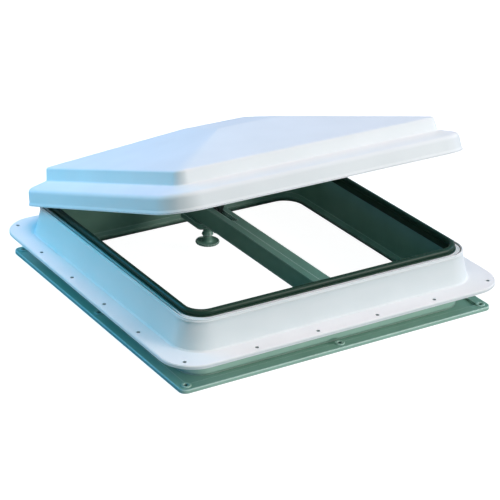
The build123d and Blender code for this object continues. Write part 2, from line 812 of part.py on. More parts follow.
# Gear housing: carries the arm pin, the sector chamber and the lower bush
with BuildPart() as gear_housing:
    block((-housing_half, housing_front, bar_bottom),
          (housing_half, housing_step_y, housing_top))
    block((-housing_half, housing_step_y, bar_bottom),
          (housing_half, housing_rear, housing_step_top))
    block((-housing_half, housing_belly_front, housing_bottom),
          (housing_half, housing_rear, bar_bottom))
    block((-tongue_half, housing_front - tongue_len, tongue_low),
          (tongue_half, housing_front, tongue_high))
    rod(side_plane(-chamber_half, arm_y, arm_z), sweep_r, 2 * chamber_half, Mode.SUBTRACT)
    block((-chamber_half, slot_front, arm_z - arm_root_depth),
          (chamber_half, slot_rear, housing_top), Mode.SUBTRACT)
    rod(side_plane(-hub_half, arm_y, arm_z), hub_r, 2 * hub_half, Mode.SUBTRACT)
    block((-hub_half, arm_y - hub_r, arm_z), (hub_half, arm_y + hub_r, housing_top),
          Mode.SUBTRACT)
    column(0, worm_y, bush_seat, worm_outer + worm_gap, housing_top - bush_seat,
           Mode.SUBTRACT)
    column(0, worm_y, housing_bottom, bush_r, bush_seat - housing_bottom, Mode.SUBTRACT)
    rod(side_plane(-housing_half, arm_y, arm_z), arm_pin_r, 2 * housing_half,
        Mode.SUBTRACT)
    for y in operator_screw_y:
        column(0, y, housing_bottom, operator_hole_r, housing_step_top - housing_bottom,
               Mode.SUBTRACT)
write(gear_housing, "gear_housing")

# Plate under the housing with the nose that guides the knob shaft
with BuildPart() as operator_base:
    with BuildSketch(level(plate_bottom)) as plate:
        with Locations((0, (plate_front + plate_rear) / 2)):
            RectangleRounded(2 * plate_half, plate_rear - plate_front, plate_corner_r)
    extrude(plate.sketch, amount=bar_bottom - plate_bottom)
    chamfer(operator_base.edges().group_by(Axis.Z)[0], plate_edge)
    cone(Plane(origin=(0, worm_y, nose_end)), nose_end_r, nose_top_r, nose_top - nose_end)
    pocket = housing_half + plate_pocket_gap
    block((-pocket, plate_front - 1, housing_bottom),
          (pocket, housing_rear + plate_pocket_gap, bar_bottom), Mode.SUBTRACT)
    column(0, worm_y, nose_end, bush_bore_r, housing_bottom - nose_end, Mode.SUBTRACT)
    for y in operator_screw_y:
        column(0, y, plate_bottom, operator_hole_r, housing_bottom - plate_bottom,
               Mode.SUBTRACT)
        column(0, y, plate_bottom, operator_head_r + operator_head_gap, operator_head_h,
               Mode.SUBTRACT)
write(operator_base, "operator_base")

# Long screws that clamp plate and housing to the crossbar
with BuildPart() as operator_screws:
    for y in operator_screw_y:
        head_low = plate_bottom + operator_head_sink
        head_top = plate_bottom + operator_head_h
        column(0, y, head_low, operator_head_r, head_top - head_low)
        column(0, y, head_top, operator_screw_r, operator_screw_top - head_top)
write(operator_screws, "operator_screws")

# Lower bush with its thrust flange
with BuildPart() as lower_bush:
    column(0, worm_y, bush_low, bush_r, bush_seat - bush_low)
    column(0, worm_y, bush_seat, bush_flange_r, bush_flange_h)
    column(0, worm_y, bush_low, bush_bore_r, bush_seat + bush_flange_h - bush_low,
           Mode.SUBTRACT)
write(lower_bush, "lower_bush")

# Upper bush in the crossbar's top
with BuildPart() as upper_bush:
    column(0, worm_y, bar_ceiling - bush_flange_h, bush_flange_r, bush_flange_h)
    column(0, worm_y, bar_ceiling, bush_r, bush_top - bar_ceiling)
    column(0, worm_y, bar_ceiling - bush_flange_h, bush_bore_r,
           bush_top - bar_ceiling + bush_flange_h, Mode.SUBTRACT)
write(upper_bush, "upper_bush")

# Drive shaft with the single-start right-hand worm cut on it
flank = math.tan(math.radians(pressure_angle))
thread_half = worm_lead / 4 - mesh_backlash / 2
with BuildPart() as drive_shaft:
    with BuildLine() as path:
        Helix(pitch=worm_lead, height=worm_lead * thread_turns, radius=worm_root,
              center=(0, worm_y, thread_start))
    root_half = thread_half + (dedendum * module + thread_sink) * flank
    tip_half = thread_half - module * flank
    outline = [(worm_root - thread_sink, -root_half), (worm_outer, -tip_half),
               (worm_outer, tip_half), (worm_root - thread_sink, root_half)]
    start = Plane(origin=(0, worm_y, thread_start), x_dir=(1, 0, 0), z_dir=(0, -1, 0))
    with BuildSketch(start) as thread:
        with BuildLine():
            Polyline(*outline, close=True)
        make_face()
    sweep(thread.sketch, path=path.line, is_frenet=True)
    for low, high in ((thread_start - worm_lead, worm_bottom),
                      (worm_top, worm_top + worm_lead * 2)):
        column(0, worm_y, low, worm_outer + 1, high - low, Mode.SUBTRACT)
    column(0, worm_y, worm_bottom, worm_root, worm_length)
    column(0, worm_y, worm_top, shoulder_r, shoulder_h)
    column(0, worm_y, shaft_end, shaft_r, shaft_top - shaft_end)
    with BuildSketch(Plane(origin=(0, worm_y, clip_z))) as groove:
        Circle(shaft_r + 1)
        Circle(shaft_r - pin_groove_d, mode=Mode.SUBTRACT)
    extrude(groove.sketch, amount=clip_h, mode=Mode.SUBTRACT)
    block((shaft_flat, worm_y - shaft_r, shaft_end), (shaft_r + 1, worm_y + shaft_r, knob_top),
          Mode.SUBTRACT)
    column(0, worm_y, shaft_end, knob_screw_r, knob_screw_top - shaft_end, Mode.SUBTRACT)
write(drive_shaft, "drive_shaft")

# Spring clip above the upper bush
with BuildPart() as shaft_clip:
    with BuildSketch(Plane(origin=(0, worm_y, clip_z))) as ring:
        Circle(shaft_r - pin_groove_d + clip_over)
        Circle(shaft_r - pin_groove_d, mode=Mode.SUBTRACT)
        with Locations((clip_over + shaft_r, 0)):
            Rectangle(2 * clip_over + shaft_r, shaft_r, mode=Mode.SUBTRACT)
    extrude(ring.sketch, amount=clip_h)
write(shaft_clip, "shaft_clip")

# Knob: slim hub over a wide disc with a raised rim
with BuildPart() as knob:
    column(0, worm_y, knob_bottom, knob_disc_r, knob_disc_h)
    rims = knob.edges().filter_by(GeomType.CIRCLE)
    chamfer(rims, knob_edge)
    column(0, worm_y, knob_disc_top - knob_dish_d, knob_disc_r - knob_rim_w,
           knob_dish_d, Mode.SUBTRACT)
    column(0, worm_y, knob_bottom, knob_hub_r, knob_top - knob_bottom)
    top_edge = knob.edges().filter_by(GeomType.CIRCLE).group_by(Axis.Z)[-1]
    chamfer(top_edge, knob_edge)
    socket_low = shaft_end - knob_socket_gap
    with BuildSketch(Plane(origin=(0, worm_y, socket_low))) as socket:
        Circle(shaft_r)
        with Locations((shaft_flat + shaft_r / 2, 0)):
            Rectangle(shaft_r, 2 * shaft_r, mode=Mode.SUBTRACT)
    extrude(socket.sketch, amount=knob_top - socket_low, mode=Mode.SUBTRACT)
    column(0, worm_y, knob_bottom, knob_screw_head_r + knob_screw_head_gap,
           knob_screw_head_h + knob_screw_sink, Mode.SUBTRACT)
    column(0, worm_y, knob_bottom, knob_screw_r, shaft_end - knob_bottom, Mode.SUBTRACT)
write(knob, "knob")

# Screw that holds the knob on the shaft
with BuildPart() as knob_screw:
    head_low = knob_bottom + knob_screw_sink
    head_top = head_low + knob_screw_head_h
    column(0, worm_y, head_low, knob_screw_head_r, knob_screw_head_h)
    column(0, worm_y, head_top, knob_screw_r, knob_screw_top - head_top)
write(knob_screw, "knob_screw")

# Lift arm: hub, tapered arm and the toothed sector that meshes with the worm
mesh_angle = 180.0 + arm_angle
root_r = gear_r - dedendum * module
base_r = gear_r * math.cos(math.radians(pressure_angle))
tip_r = gear_r + module
sector_twist = math.degrees(sector_half_w * worm_lead / (2 * math.pi)
                            / worm_pitch_r / gear_r)


def involute(a):
    """Involute function of an angle in radians."""
    return math.tan(a) - a


def tooth_half_angle(r):
    """Half the angle that a sector tooth fills at a radius, in radians."""
    at_pitch = math.pi / (2 * sector_teeth) - tooth_backlash / gear_r
    here = math.acos(min(1.0, base_r / r))
    return at_pitch + involute(math.radians(pressure_angle)) - involute(here)


def tooth_outline(middle):
    """Corners of one sector tooth about its middle angle in degrees."""
    radii = [root_r - thread_sink, base_r, (base_r + gear_r) / 2, gear_r,
             (gear_r + tip_r) / 2, tip_r]
    left = []
    right = []
    for r in radii:
        half = tooth_half_angle(max(r, base_r))
        for store, sign in ((left, -1), (right, 1)):
            a = math.radians(middle) + sign * half
            store.append((r * math.cos(a), r * math.sin(a)))
    return left + right[::-1]


with BuildPart() as lift_arm:
    rod(arm_side(-arm_hub_half), arm_hub_r, 2 * arm_hub_half)
    arm_outline = [(0, -arm_root_depth), (arm_reach, -arm_tip_r),
                   (arm_reach, arm_tip_r), (0, arm_root_depth)]
    prism(arm_side(-arm_half_w), arm_outline, 2 * arm_half_w)
    tip = arm_side(-arm_half_w).from_local_coords((arm_reach, 0, 0))
    rod(Plane(origin=tip, x_dir=(0, 1, 0), z_dir=(1, 0, 0)), arm_tip_r, 2 * arm_half_w)
    first = mesh_angle + (tooth_first + 0.5) * tooth_angle
    last = mesh_angle + (tooth_last + 0.5) * tooth_angle
    fan = [(0, 0)]
    fan_span = last - first + 2 * fan_margin
    for i in range(fan_steps + 1):
        a = math.radians(first - fan_margin + fan_span * i / fan_steps)
        fan.append((2 * root_r * math.cos(a), 2 * root_r * math.sin(a)))
    with BuildSketch(arm_side(-sector_half_w)) as plate:
        Circle(root_r)
        with BuildSketch(mode=Mode.INTERSECT):
            with BuildLine():
                Polyline(*fan, close=True)
            make_face()
    extrude(plate.sketch, amount=2 * sector_half_w)
    for k in range(tooth_first, tooth_last + 1):
        middle = mesh_angle + (k + 0.5) * tooth_angle
        faces = []
        for side in (-1, 1):
            with BuildSketch(arm_side(side * sector_half_w)) as tooth:
                with BuildLine():
                    Polyline(*tooth_outline(middle + side * sector_twist), close=True)
                make_face()
            faces.append(tooth.sketch.face())
        loft(faces, ruled=True)
    pocket_near = arm_hub_r + arm_pocket_near
    pocket_far = arm_reach - arm_tip_r - arm_pocket_far
    slope = (arm_root_depth - arm_tip_r) / arm_reach
    near_half = arm_root_depth - slope * pocket_near - arm_rim
    far_half = arm_root_depth - slope * pocket_far - arm_rim
    pocket = [(pocket_near, -near_half), (pocket_far, -far_half),
              (pocket_far, far_half), (pocket_near, near_half)]
    prism(arm_side(-arm_half_w), pocket, arm_pocket_d, Mode.SUBTRACT)
    prism(arm_side(arm_half_w - arm_pocket_d), pocket, arm_pocket_d, Mode.SUBTRACT)
    rod(arm_side(-arm_hub_half), arm_pin_r + arm_pin_fit, 2 * arm_hub_half, Mode.SUBTRACT)
    rod(Plane(origin=tip, x_dir=(0, 1, 0), z_dir=(1, 0, 0)), shoe_pin_r + shoe_pin_fit,
        2 * arm_half_w, Mode.SUBTRACT)
write(lift_arm, "lift_arm")

# Pivot pin of the arm, pressed in the housing cheeks
with BuildPart() as arm_pin:
    rod(side_plane(pin_inset - housing_half, arm_y, arm_z), arm_pin_r,
        2 * (housing_half - pin_inset))
    chamfer(arm_pin.edges(), arm_pin_edge)
write(arm_pin, "arm_pin")

# Slide shoe: a forked block on the tip of the arm
axle = rail_point(shoe_rest)
with BuildPart() as slide_shoe:
    with BuildSketch(rail_cut(shoe_rest - shoe_rear)) as face:
        Rectangle(2 * shoe_half_w, 2 * shoe_half_h)
    extrude(face.sketch, amount=shoe_front + shoe_rear)
    long_edges = slide_shoe.edges().sort_by(SortBy.LENGTH)[-4:]
    fillet(long_edges, shoe_edge_r)
    with BuildSketch(rail_cut(shoe_rest - shoe_rear)) as fork:
        Rectangle(2 * shoe_fork_half, 2 * shoe_half_h)
    extrude(fork.sketch, amount=shoe_rear + shoe_fork_front, mode=Mode.SUBTRACT)
    rod(side_plane(-shoe_half_w, axle[1], axle[2]), shoe_pin_r, 2 * shoe_half_w,
        Mode.SUBTRACT)
write(slide_shoe, "slide_shoe")

# Pin through the shoe and the eye of the arm
with BuildPart() as shoe_pin:
    rod(side_plane(pin_inset - shoe_half_w, axle[1], axle[2]), shoe_pin_r,
        2 * (shoe_half_w - pin_inset))
    chamfer(shoe_pin.edges(), shoe_pin_edge)
write(shoe_pin, "shoe_pin")

# Slide rail: folded channel, open towards the arm, with an end stop and two feet
with BuildPart() as slide_rail:
    length = rail_end - rail_start
    with BuildSketch(rail_cut(rail_start - rail_stop)) as skin:
        Rectangle(2 * rail_half_w, 2 * rail_half_h)
    extrude(skin.sketch, amount=length + rail_stop)
    long_edges = slide_rail.edges().sort_by(SortBy.LENGTH)[-4:]
    fillet(long_edges, rail_fold_r)
    with BuildSketch(rail_cut(rail_start)) as hollow:
        Rectangle(2 * (rail_half_w - rail_wall), 2 * (rail_half_h - rail_wall))
        with Locations((0, -rail_half_h)):
            Rectangle(2 * rail_slot_half, 2 * rail_half_h)
    extrude(hollow.sketch, amount=length, mode=Mode.SUBTRACT)
    for d in foot_places:
        with BuildSketch(rail_roof(d, foot_low)) as foot:
            RectangleRounded(2 * foot_half, foot_len, foot_corner_r)
            with Locations((-foot_screw_x, 0), (foot_screw_x, 0)):
                Circle(foot_screw_r + foot_hole_gap, mode=Mode.SUBTRACT)
        extrude(foot.sketch, amount=foot_top - foot_low)
write(slide_rail, "slide_rail")

# Screws that hold the rail's feet to the posts in the lid
with BuildPart() as rail_screws:
    for d in foot_places:
        with BuildSketch(rail_roof(d, foot_low)) as shanks:
            with Locations((-foot_screw_x, 0), (foot_screw_x, 0)):
                Circle(foot_screw_r)
        extrude(shanks.sketch, amount=foot_screw_length + foot_top - foot_low)
        with BuildSketch(rail_roof(d, foot_low)) as heads:
            with Locations((-foot_screw_x, 0), (foot_screw_x, 0)):
                Circle(foot_screw_head_r)
        extrude(heads.sketch, amount=-foot_screw_head_h)
write(rail_screws, "rail_screws")

# Hollow under the lid, less the sealing rib and the posts for the rail
with BuildPart() as lid_hollow:
    tub(lid_plane(), lid_half - lid_wall, lid_corner_r - lid_wall, skirt_draft, hollow_low)
    tub(lid_plane(hollow_low), skirt_top_half - lid_wall, skirt_r - lid_wall, ledge_width,
        hollow_mid - hollow_low)
    tub(lid_plane(hollow_mid), riser_half - lid_wall, riser_corner_r - lid_wall,
        riser_draft, hollow_high - hollow_mid)
    crown(lid_plane(hollow_high), riser_top_half - lid_wall, crown_inner_r,
          plateau_half, crown_rise)
    rib_low_edge = bulb_z + bulb_r + seal_press_gap - lid_bottom_z
    band(lid_plane(rib_low_edge, -lid_shift), bulb_half + seal_rib_w / 2,
         bulb_corner + seal_rib_w / 2, bulb_half - seal_rib_w / 2,
         bulb_corner - seal_rib_w / 2, seal_rib_h, Mode.SUBTRACT)
    for d in foot_places:
        with BuildSketch(rail_roof(d, foot_top)) as posts:
            with Locations((-foot_screw_x, 0), (foot_screw_x, 0)):
                Circle(post_r)
            Rectangle(2 * foot_screw_x, post_web)
        extrude(posts.sketch, amount=post_reach, mode=Mode.SUBTRACT)

# Lid: skirt, ledge, riser and four sloping faces up to a flat top
with BuildPart() as lid_shell:
    crown(lid_plane(riser_top), riser_top_half, riser_top_r, plateau_half, crown_rise)
    tub(lid_plane(), lid_half, lid_corner_r, skirt_draft, skirt_height)
    tub(lid_plane(skirt_height), skirt_top_half, skirt_r, ledge_width, ledge_rise)
    tub(lid_plane(ledge_top), riser_half, riser_corner_r, riser_draft, riser_height)
    for place in (-hinge_x, hinge_x):
        low_z = lid_bottom_z - hinge_z
        high_z = low_z + skirt_height - pad_below_ledge
        face_y = pad_face_y - hinge_y
        low_y = lid_half + lid_shift - lid_wall / 2 - hinge_y
        high_y = low_y - skirt_draft
        pad = [(low_y, low_z), (face_y, low_z), (face_y, high_z), (high_y, high_z)]
        prism(lid_side(place - lid_pad_half), pad, 2 * lid_pad_half)
    add(lid_hollow.part, mode=Mode.SUBTRACT)
    for d in foot_places:
        with BuildSketch(rail_roof(d, foot_top)) as bores:
            with Locations((-foot_screw_x, 0), (foot_screw_x, 0)):
                Circle(foot_screw_r)
        extrude(bores.sketch, amount=foot_screw_length, mode=Mode.SUBTRACT)
    for place in (-hinge_x, hinge_x):
        for x in (place - rivet_x, place + rivet_x):
            rod(rivet_plane(x, rivet_tail_y - rivet_tail_h), rivet_r,
                pad_face_y - rivet_tail_y + rivet_tail_h, Mode.SUBTRACT)
write(lid_shell, "lid_shell")

# Two pressed hinge leaves on the rear skirt
knee_y = pad_face_y + leaf_thick / 2 - hinge_y
knee_z = leaf_low - hinge_z
knee_d = math.hypot(knee_y, knee_z)
towards = math.atan2(-knee_z, -knee_y)
lean = math.asin((leaf_r - leaf_thick / 2) / knee_d)
run = knee_d * math.cos(lean)
way = (math.cos(towards - lean), math.sin(towards - lean))
off = (-way[1] * leaf_thick / 2, way[0] * leaf_thick / 2)
end_y = knee_y + run * way[0]
end_z = knee_z + run * way[1]
with BuildPart() as hinge_leaves:
    for place in (-hinge_x, hinge_x):
        start = lid_side(place - leaf_half)
        flat_leaf = [(knee_y - leaf_thick / 2, knee_z - knee_over),
                     (knee_y + leaf_thick / 2, knee_z - knee_over),
                     (knee_y + leaf_thick / 2, leaf_high - hinge_z),
                     (knee_y - leaf_thick / 2, leaf_high - hinge_z)]
        prism(start, flat_leaf, 2 * leaf_half)
        strap = [(knee_y + off[0], knee_z + off[1]), (end_y + off[0], end_z + off[1]),
                 (end_y - off[0], end_z - off[1]), (knee_y - off[0], knee_z - off[1])]
        prism(start, strap, 2 * leaf_half)
        rod(Plane(origin=start.origin, x_dir=(0, 1, 0), z_dir=(1, 0, 0)), leaf_r,
            2 * leaf_half)
        rod(Plane(origin=start.origin, x_dir=(0, 1, 0), z_dir=(1, 0, 0)),
            hinge_pin_r + hinge_fit, 2 * leaf_half, Mode.SUBTRACT)
        for x in (place - rivet_x, place + rivet_x):
            rod(rivet_plane(x, pad_face_y), rivet_r, leaf_thick, Mode.SUBTRACT)
write(hinge_leaves, "hinge_leaves")

# Rivets through leaf, pad and skirt
with BuildPart() as hinge_rivets:
    for place in (-hinge_x, hinge_x):
        for x in (place - rivet_x, place + rivet_x):
            tail = rivet_tail_y - rivet_tail_h
            head = pad_face_y + leaf_thick
            rod(rivet_plane(x, tail), rivet_r, head - tail)
            rod(rivet_plane(x, tail), rivet_tail_r, rivet_tail_h)
            cone(rivet_plane(x, head), rivet_head_r, rivet_crown_r, rivet_head_h)
write(hinge_rivets, "hinge_rivets")

# Hinge pins with a head and a groove for the clip
pin_left = -lug_inner - lug_w - pin_side_gap
pin_clip_x = lug_inner + lug_w + pin_side_gap
with BuildPart() as hinge_pins:
    for place in (-hinge_x, hinge_x):
        start = side_plane(place + pin_left, hinge_y, hinge_z)
        rod(start, hinge_pin_r, pin_clip_x + clip_h + pin_end - pin_left)
        rod(side_plane(place + pin_left - pin_head_h, hinge_y, hinge_z), pin_head_r,
            pin_head_h)
        with BuildSketch(side_plane(place + pin_clip_x, hinge_y, hinge_z)) as groove:
            Circle(hinge_pin_r + 1)
            Circle(hinge_pin_r - pin_groove_d, mode=Mode.SUBTRACT)
        extrude(groove.sketch, amount=clip_h, mode=Mode.SUBTRACT)
write(hinge_pins, "hinge_pins")

# Spring clips on the hinge pins
with BuildPart() as hinge_clips:
    for place in (-hinge_x, hinge_x):
        with BuildSketch(side_plane(place + pin_clip_x, hinge_y, hinge_z)) as ring:
            Circle(hinge_pin_r - pin_groove_d + clip_over)
            Circle(hinge_pin_r - pin_groove_d, mode=Mode.SUBTRACT)
            with Locations((clip_over + hinge_pin_r, 0)):
                Rectangle(2 * clip_over + hinge_pin_r, clip_open * hinge_pin_r,
                          mode=Mode.SUBTRACT)
        extrude(ring.sketch, amount=clip_h)
write(hinge_clips, "hinge_clips")
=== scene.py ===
"""Looks of a caravan roof hatch, laid out as an add-on and run as a script."""

import json
import math

import bmesh
import bpy
import numpy as np
from bpy.props import FloatProperty, FloatVectorProperty, IntProperty, StringProperty
from mathutils import Matrix, Vector


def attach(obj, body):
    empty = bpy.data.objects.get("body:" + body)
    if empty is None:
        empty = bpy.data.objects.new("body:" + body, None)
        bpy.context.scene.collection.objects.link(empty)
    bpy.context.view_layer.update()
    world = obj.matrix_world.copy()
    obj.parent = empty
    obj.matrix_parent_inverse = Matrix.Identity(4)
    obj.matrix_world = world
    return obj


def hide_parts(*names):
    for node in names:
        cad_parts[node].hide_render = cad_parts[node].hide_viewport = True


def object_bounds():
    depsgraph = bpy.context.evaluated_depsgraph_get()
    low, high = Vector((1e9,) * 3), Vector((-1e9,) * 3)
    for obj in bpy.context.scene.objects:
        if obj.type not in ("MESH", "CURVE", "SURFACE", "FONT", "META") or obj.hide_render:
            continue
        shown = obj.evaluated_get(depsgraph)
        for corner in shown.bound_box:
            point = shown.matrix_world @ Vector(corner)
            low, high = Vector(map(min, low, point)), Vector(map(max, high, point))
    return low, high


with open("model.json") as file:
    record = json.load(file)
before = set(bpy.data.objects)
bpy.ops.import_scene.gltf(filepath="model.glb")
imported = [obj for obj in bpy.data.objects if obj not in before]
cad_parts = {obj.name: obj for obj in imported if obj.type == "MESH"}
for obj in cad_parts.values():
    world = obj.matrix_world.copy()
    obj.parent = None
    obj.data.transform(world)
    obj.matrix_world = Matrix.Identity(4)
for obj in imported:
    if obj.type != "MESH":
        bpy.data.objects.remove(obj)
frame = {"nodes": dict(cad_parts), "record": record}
CAD_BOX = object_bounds()

bl_info = {
    "name": "Roof hatch looks",
    "version": (1, 0, 0),
    "blender": (4, 5, 0),
    "location": "3D view > Sidebar > Hatch",
    "description": "Materials, finished surfaces and a plain studio for a roof hatch",
    "category": "Object",
}

MM = 0.001

# Places and half widths of the CAD model, in millimetres, with the lid closed
HINGE_Y = 204.0
HINGE_Z = 10.0
HINGE_X = 76.0
LID_LOW = 24.3
LID_SHIFT = 2.0
RISER_HALF = 167.0
RISER_CORNER = 14.0
PLATEAU_HALF = 40.0
SEAL_HALF = 171.0
SEAL_ARC_CENTRE = 150.0
RIM_HALF = 180.6
RIM_ARC_CENTRE = 154.5
RIM_TOP = 36.6
KNOB_Y = 88.0
RING_HOLES = 190.5

# The corner radius of the lid's roof grows by this much per millimetre of half width
HIP_GROWTH = 0.078

# The rail's plane seen from the hinge line with the lid closed, and the posts that hold it:
# distance from the hinge along the plane, height at the middle and slope of the roof above
RAIL_LEAN = math.radians(13.0)
RAIL_HEIGHT = 7.3
POST_X = 12.0
POST_RADIUS = 4.0
POST_BORE = 1.5
WEB_HALF = 1.25
POST_PLACES = ((165.008, 31.3, 0.038), (265.031, 7.5, 0.441))

# Points round each of the knob's flutes, and their depth in millimetres
FLUTE_STEPS = 8
FLUTE_DEPTH = 0.5

# Faces that meet at more than this keep a sharp edge under smooth shading
SHARP_ANGLE = math.radians(40)

# Soft lamps that light everything: name, place and width in metres, watts and colour
LAMPS = (
    ("front_right", (2.2, -2.8, 1.6), 1.6, 75.0, "#fff8f5"),
    ("right", (3.2, 0.0, 1.6), 1.6, 23.8, "#c6d6ff"),
    ("rear", (0.0, 3.4, 1.6), 1.6, 28.9, "#808aff"),
    ("top", (0.0, 0.0, 3.6), 1.6, 71.0, "#ffd0cc"),
    ("left_close", (-0.6, 0.45, 0.45), 0.4, 2.9, "#50cdff"),
)
# Low lamps that light the ring and its bosses only, under the flange's shade
LOW_LAMPS = (
    ("left_low", (-0.7, 0.0, 0.0), 0.3, 1.4, "#2f86ff"),
    ("front_low", (0.1, -1.4, 0.06), 0.12, 8.0, "#ffe6f8"),
)
# The point that the lamps look at, in metres, and the dim light from all round
LAMP_AIM = (0.0, 0.0, 0.05)
WORLD_COLOUR = "#4ff2fa"
WORLD_STRENGTH = 0.28

# Points round the floor's edge
FLOOR_STEPS = 96


def linear(hex_colour):
    """sRGB hex to linear RGBA: each channel c becomes ((c + 0.055) / 1.055) ** 2.4."""
    text = hex_colour.lstrip("#")
    out = []
    for i in (0, 2, 4):
        c = int(text[i:i + 2], 16) / 255
        out.append(c / 12.92 if c <= 0.04045 else ((c + 0.055) / 1.055) ** 2.4)
    return (*out, 1.0)


def toned(hex_colour, levels):
    """A hex colour with so many levels of 255 added to each of its channels."""
    text = hex_colour.lstrip("#")
    channels = [min(255, max(0, int(text[i:i + 2], 16) + levels)) for i in (0, 2, 4)]
    return "#{:02x}{:02x}{:02x}".format(*channels)


def node(tree, kind, settings=None, **links):
    """Adds a shader node; settings are its attributes, links its sockets or their values."""
    made = tree.nodes.new(kind)
    for key, value in (settings or {}).items():
        setattr(made, key, value)
    for key, value in links.items():
        socket = made.inputs[key.replace("_", " ")]
        if isinstance(value, bpy.types.NodeSocket):
            tree.links.new(value, socket)
        else:
            socket.default_value = value
    return made


def new_material(name, colour, ior=1.5, metallic=0.0):
    """A material with one principled shader, its plain values set on the shader itself."""
    made = bpy.data.materials.new(name)
    made.use_nodes = True
    tree = made.node_tree
    tree.nodes.clear()
    out = tree.nodes.new("ShaderNodeOutputMaterial")
    shader = tree.nodes.new("ShaderNodeBsdfPrincipled")
    tree.links.new(shader.outputs["BSDF"], out.inputs["Surface"])
    shader.inputs["Base Color"].default_value = linear(colour)
    shader.inputs["IOR"].default_value = ior
    shader.inputs["Metallic"].default_value = metallic
    return made, tree, shader


def grain(tree, millimetres):
    """Noise on object coordinates whose spots are about that many millimetres wide."""
    place = node(tree, "ShaderNodeTexCoord")
    return node(tree, "ShaderNodeTexNoise", Vector=place.outputs["Object"],
                Scale=1.0 / (millimetres * MM), Detail=2.0)


def ramp(tree, factor, low, high, colour_low, colour_high):
    """Colour that goes from one hex value to another as a factor goes from low to high."""
    made = node(tree, "ShaderNodeValToRGB", Fac=factor)
    made.color_ramp.elements[0].position = low
    made.color_ramp.elements[1].position = high
    made.color_ramp.elements[0].color = linear(colour_low)
    made.color_ramp.elements[1].color = linear(colour_high)
    return made.outputs["Color"]


def span(tree, factor, low, high):
    """A number that goes from low to high as a factor goes from 0 to 1."""
    made = node(tree, "ShaderNodeMapRange", Value=factor, To_Min=low, To_Max=high)
    return made.outputs["Result"]


def fine_skin(tree, shader, millimetres, smooth, rough, relief=0.0):
    """Spots so many millimetres wide that vary the roughness and stand up by the relief."""
    spots = grain(tree, millimetres).outputs["Fac"]
    tree.links.new(span(tree, spots, smooth, rough), shader.inputs["Roughness"])
    if relief:
        raised = node(tree, "ShaderNodeBump", Height=spots, Distance=relief * MM)
        tree.links.new(raised.outputs["Normal"], shader.inputs["Normal"])


def painted_shade_and_highlight(tree, colour, shade_colour, wear_and_highlight_colour, gap, edge):
    """Colour with painted shade in its gaps and lighter edges, partly wear and partly painted
    highlight; both widths in millimetres.

    The painted shade darkens the colour where little of the sky within the gap width is seen.
    An edge is where the normal rounded over the edge width leans away from the true one; there
    the colour goes to the lighter one, a painted highlight as much as wear.
    """
    # Painted shade: the colour darkens towards the shade colour where a gap sees little open
    # sky
    open_sky = node(tree, "ShaderNodeAmbientOcclusion", {"samples": 8}, Distance=gap * MM)
    gap_shade = node(tree, "ShaderNodeMapRange", Value=open_sky.outputs["AO"], From_Min=0.2,
                From_Max=0.7, To_Min=0.9, To_Max=0.0)
    gap_shaded = node(tree, "ShaderNodeMixRGB", Fac=gap_shade.outputs["Result"], Color1=colour,
                 Color2=linear(shade_colour))
    # Painted highlight, partly wear: the colour lightens where the rounded normal leans away
    # on an edge
    rounded = node(tree, "ShaderNodeBevel", {"samples": 6}, Radius=edge * MM)
    true = node(tree, "ShaderNodeNewGeometry")
    lean = node(tree, "ShaderNodeVectorMath", {"operation": "DOT_PRODUCT"})
    tree.links.new(rounded.outputs["Normal"], lean.inputs[0])
    tree.links.new(true.outputs["Normal"], lean.inputs[1])
    edge_highlight = node(tree, "ShaderNodeMapRange", Value=lean.outputs["Value"], From_Min=0.85,
               From_Max=0.995, To_Min=0.9, To_Max=0.0)
    # Mask of the painted edge highlight, kept off the shaded gaps
    bare = node(tree, "ShaderNodeMath", {"operation": "MULTIPLY"})
    tree.links.new(edge_highlight.outputs["Result"], bare.inputs[0])
    tree.links.new(open_sky.outputs["AO"], bare.inputs[1])
    made = node(tree, "ShaderNodeMixRGB", Fac=bare.outputs["Value"],
                Color1=gap_shaded.outputs["Color"], Color2=linear(wear_and_highlight_colour))
    return made.outputs["Color"]


def white_abs():
    """Injection-moulded ABS, white: satin skin, faint flow marks, painted shade in its gaps,
    edges lightened as wear and painted highlight.
    """
    white = bpy.context.scene.hatch_colours.white
    made, tree, shader = new_material("moulded_white_abs", white, 1.53)
    flow = grain(tree, 60.0)
    tone = ramp(tree, flow.outputs["Fac"], 0.3, 0.7, toned(white, -2), toned(white, 2))
    # Painted shade #232b30 in gaps within 6 mm, and pure white edges 1.5 mm wide as a painted
    # highlight
    colour = painted_shade_and_highlight(tree, tone, "#232b30", "#ffffff", 6.0, 1.5)
    tree.links.new(colour, shader.inputs["Base Color"])
    shader.inputs["Specular IOR Level"].default_value = 0.2
    fine_skin(tree, shader, 1.2, 0.42, 0.52, 0.02)
    return made


def green_abs():
    """Injection-moulded ABS, sea green: satin skin, painted shade in its gaps, edges lightened
    pale as wear and painted highlight.

    The pale edge band is drawn some 2 mm wide, twice the real one, so that it shows as a
    painted highlight.
    """
    green = bpy.context.scene.hatch_colours.green
    made, tree, shader = new_material("moulded_sea_green_abs", green, 1.53)
    flow = grain(tree, 45.0)
    tone = ramp(tree, flow.outputs["Fac"], 0.3, 0.7, toned(green, -6), toned(green, 6))
    # Painted shade #0c241c in gaps within 8 mm, and near-white edges 2.2 mm wide as a painted
    # highlight as much as wear
    colour = painted_shade_and_highlight(tree, tone, "#0c241c", "#f2fff9", 8.0, 2.2)
    tree.links.new(colour, shader.inputs["Base Color"])
    fine_skin(tree, shader, 1.0, 0.3, 0.42, 0.02)
    return made


def seal_rubber():
    """Extruded EPDM rubber: deep green, oily sheen, with a fine extrusion skin."""
    rubber = bpy.context.scene.hatch_colours.rubber
    made, tree, shader = new_material("extruded_epdm_rubber", rubber, 1.52)
    shader.inputs["Specular IOR Level"].default_value = 0.3
    fine_skin(tree, shader, 0.8, 0.3, 0.5, 0.04)
    return made


